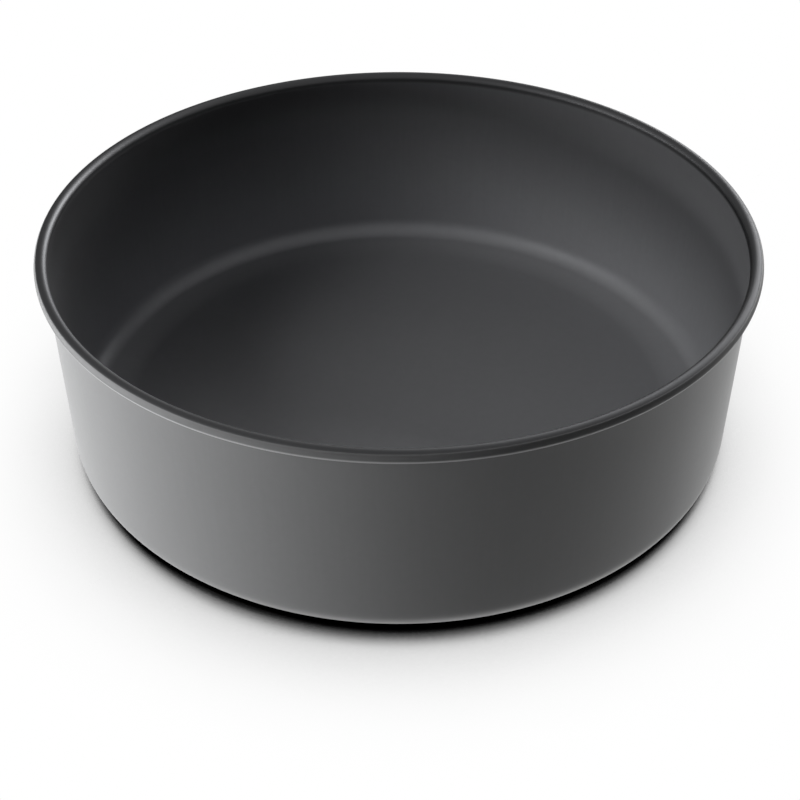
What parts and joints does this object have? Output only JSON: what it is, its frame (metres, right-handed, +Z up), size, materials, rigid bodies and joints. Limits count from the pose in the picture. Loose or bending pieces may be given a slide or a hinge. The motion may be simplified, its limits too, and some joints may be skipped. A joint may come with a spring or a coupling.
{
  "type": "round baking pan",
  "caption": "Deep round baking pan: a drawn sheet-steel dish with a nearly upright wall, a rounded corner and a rim rolled round a wire, coated dark grey inside and out.",
  "frame": {"origin": "the middle of the flat underside, on the surface that the pan stands on", "axes": "+Z up along the pan's axis, out of its mouth; +X and +Y in the plane of the underside, with the picture taken from the -Y side"},
  "size_m": [0.222, 0.222, 0.068],
  "materials": {
    "coated_steel": "dark grey coating on steel sheet, matt and non-stick inside, satin outside",
    "wire_steel": "bright drawn steel wire"
  },
  "bodies": {
    "root": {"pan_shell": "coated_steel", "rim_wire": "wire_steel"}
  },
  "joints": []
}
